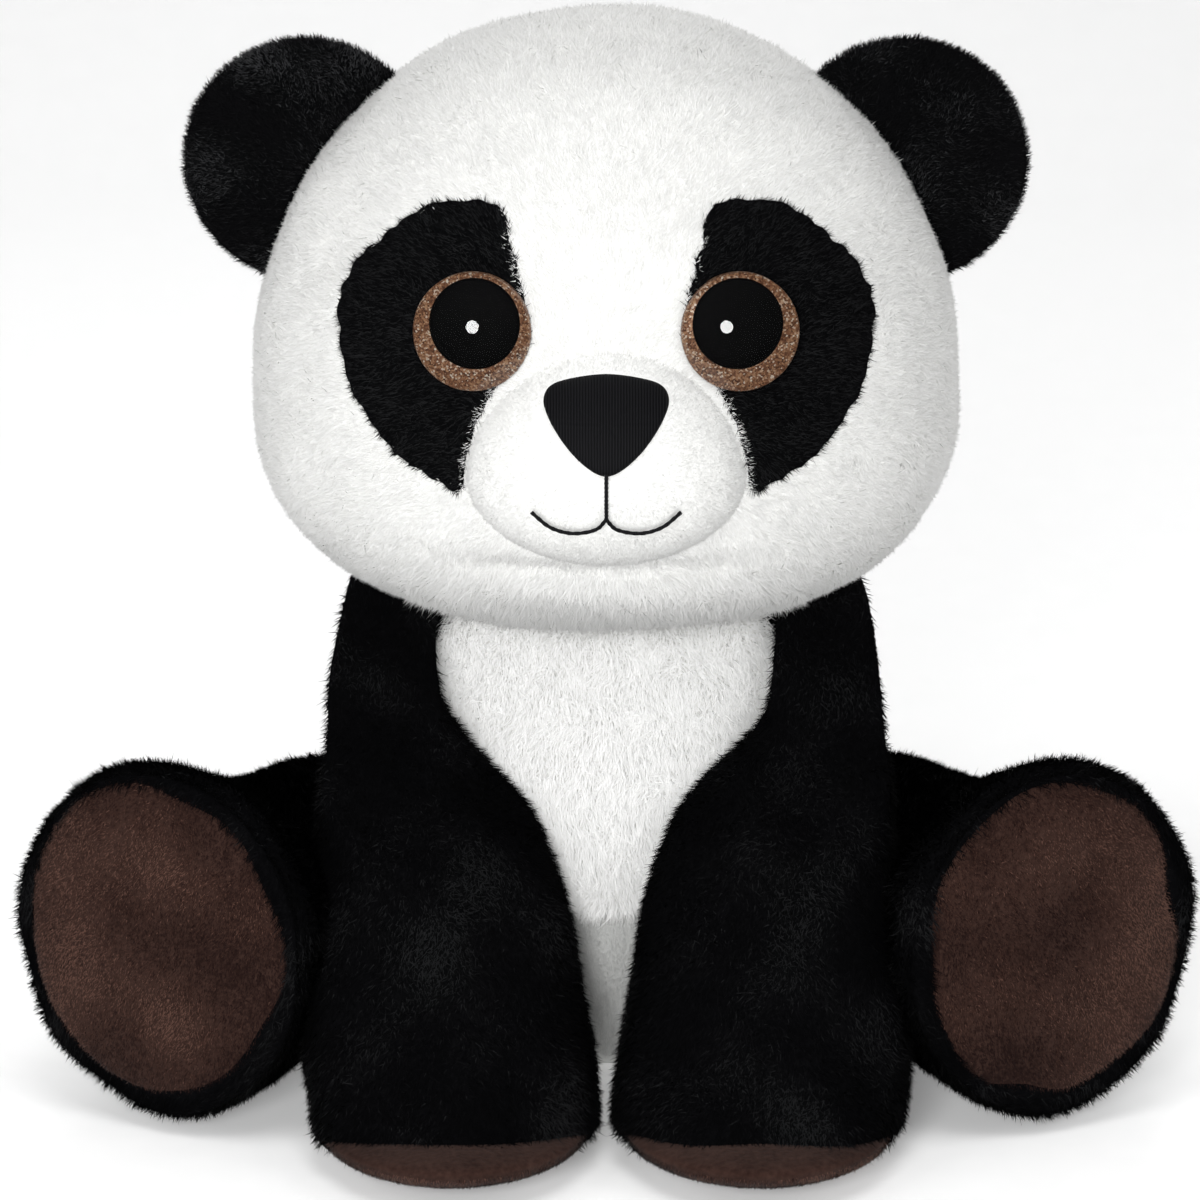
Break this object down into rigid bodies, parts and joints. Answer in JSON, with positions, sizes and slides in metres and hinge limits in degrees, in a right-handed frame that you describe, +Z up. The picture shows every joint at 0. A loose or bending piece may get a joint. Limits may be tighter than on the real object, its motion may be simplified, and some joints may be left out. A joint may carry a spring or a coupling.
{
  "type": "plush panda",
  "caption": "Sitting plush panda with a big round head, glitter safety eyes, embroidered nose, brown paw and foot pads, stuffed swinging limbs and folding ears.",
  "frame": {"origin": "on the floor, under the middle of the toy's overall length and width", "axes": "+Z up, the toy looks towards -Y, its own left is +X"},
  "size_m": [0.3884, 0.2647, 0.37],
  "materials": {
    "white_plush": "matte",
    "black_plush": "matte",
    "brown_plush": "matte",
    "stuffing": "matte",
    "black_thread": "satin",
    "label_satin": "satin",
    "clear_plastic": "gloss",
    "black_plastic": "gloss",
    "glitter_copper": "gloss",
    "white_plastic": "satin"
  },
  "bodies": {
    "torso": {"torso_stuffing": "stuffing", "seat_pellet_bag": "stuffing", "seat_panel": "white_plush", "belly_panel": "white_plush", "lower_front_panel": "white_plush", "torso_left_panel": "black_plush", "torso_right_panel": "black_plush", "closing_seam_thread": "black_thread", "care_label": "label_satin", "tail_cover": "white_plush", "tail_stuffing": "stuffing"},
    "neck": {"neck_stuffing_ball": "stuffing"},
    "head": {"chin_band": "white_plush", "face_cover": "white_plush", "head_back_cover": "white_plush", "head_stuffing": "stuffing", "left_eye_clear_dome": "clear_plastic", "left_eye_glitter_disc": "glitter_copper", "left_eye_lock_washer": "white_plastic", "left_eye_patch": "black_plush", "left_eye_pupil": "black_plastic", "left_eye_ribbed_post": "black_plastic", "mouth_thread": "black_thread", "muzzle_cover": "white_plush", "muzzle_stuffing": "stuffing", "nose_embroidered": "black_thread", "right_eye_clear_dome": "clear_plastic", "right_eye_glitter_disc": "glitter_copper", "right_eye_lock_washer": "white_plastic", "right_eye_patch": "black_plush", "right_eye_pupil": "black_plastic", "right_eye_ribbed_post": "black_plastic"},
    "left_arm": {"left_arm_cover": "black_plush", "left_arm_stuffing": "stuffing", "left_paw_pad": "brown_plush", "left_paw_pad_stuffing": "stuffing"},
    "left_ear": {"left_ear_back": "black_plush", "left_ear_back_wadding": "stuffing", "left_ear_front": "black_plush", "left_ear_front_wadding": "stuffing"},
    "left_leg": {"left_foot_pad": "brown_plush", "left_foot_pad_stuffing": "stuffing", "left_leg_cover": "black_plush", "left_leg_stuffing": "stuffing"},
    "right_arm": {"right_arm_cover": "black_plush", "right_arm_stuffing": "stuffing", "right_paw_pad": "brown_plush", "right_paw_pad_stuffing": "stuffing"},
    "right_ear": {"right_ear_back": "black_plush", "right_ear_back_wadding": "stuffing", "right_ear_front": "black_plush", "right_ear_front_wadding": "stuffing"},
    "right_leg": {"right_foot_pad": "brown_plush", "right_foot_pad_stuffing": "stuffing", "right_leg_cover": "black_plush", "right_leg_stuffing": "stuffing"}
  },
  "joints": [
    {"name": "head_turn", "type": "hinge", "parent": "torso", "child": "neck", "pos_m": [0, 0.031, 0.1645], "axis": [0, 0, 1], "range_deg": [-25, 25], "stiffness_Nm_per_rad": 1.2},
    {"name": "head_nod", "type": "hinge", "parent": "neck", "child": "head", "pos_m": [0, 0.031, 0.1645], "axis": [1, 0, 0], "range_deg": [-12, 5], "stiffness_Nm_per_rad": 6},
    {"name": "left_arm_swing", "type": "hinge", "parent": "torso", "child": "left_arm", "pos_m": [0.06, 0.029, 0.152], "axis": [-1, 0, 0], "range_deg": [0, 15], "stiffness_Nm_per_rad": 1},
    {"name": "left_leg_lift", "type": "hinge", "parent": "torso", "child": "left_leg", "pos_m": [0.084, 0.053, 0.056], "axis": [-1, 0, 0], "range_deg": [0, 30], "stiffness_Nm_per_rad": 3},
    {"name": "left_ear_fold", "type": "hinge", "parent": "head", "child": "left_ear", "pos_m": [0.084, 0.025, 0.308], "axis": [0.5736, 0, -0.8192], "range_deg": [-15, 15], "stiffness_Nm_per_rad": 0.15},
    {"name": "right_arm_swing", "type": "hinge", "parent": "torso", "child": "right_arm", "pos_m": [-0.06, 0.029, 0.152], "axis": [-1, 0, 0], "range_deg": [0, 15], "stiffness_Nm_per_rad": 1},
    {"name": "right_leg_lift", "type": "hinge", "parent": "torso", "child": "right_leg", "pos_m": [-0.084, 0.053, 0.056], "axis": [-1, 0, 0], "range_deg": [0, 30], "stiffness_Nm_per_rad": 3},
    {"name": "right_ear_fold", "type": "hinge", "parent": "head", "child": "right_ear", "pos_m": [-0.084, 0.025, 0.308], "axis": [0.5736, 0, 0.8192], "range_deg": [-15, 15], "stiffness_Nm_per_rad": 0.15}
  ]
}
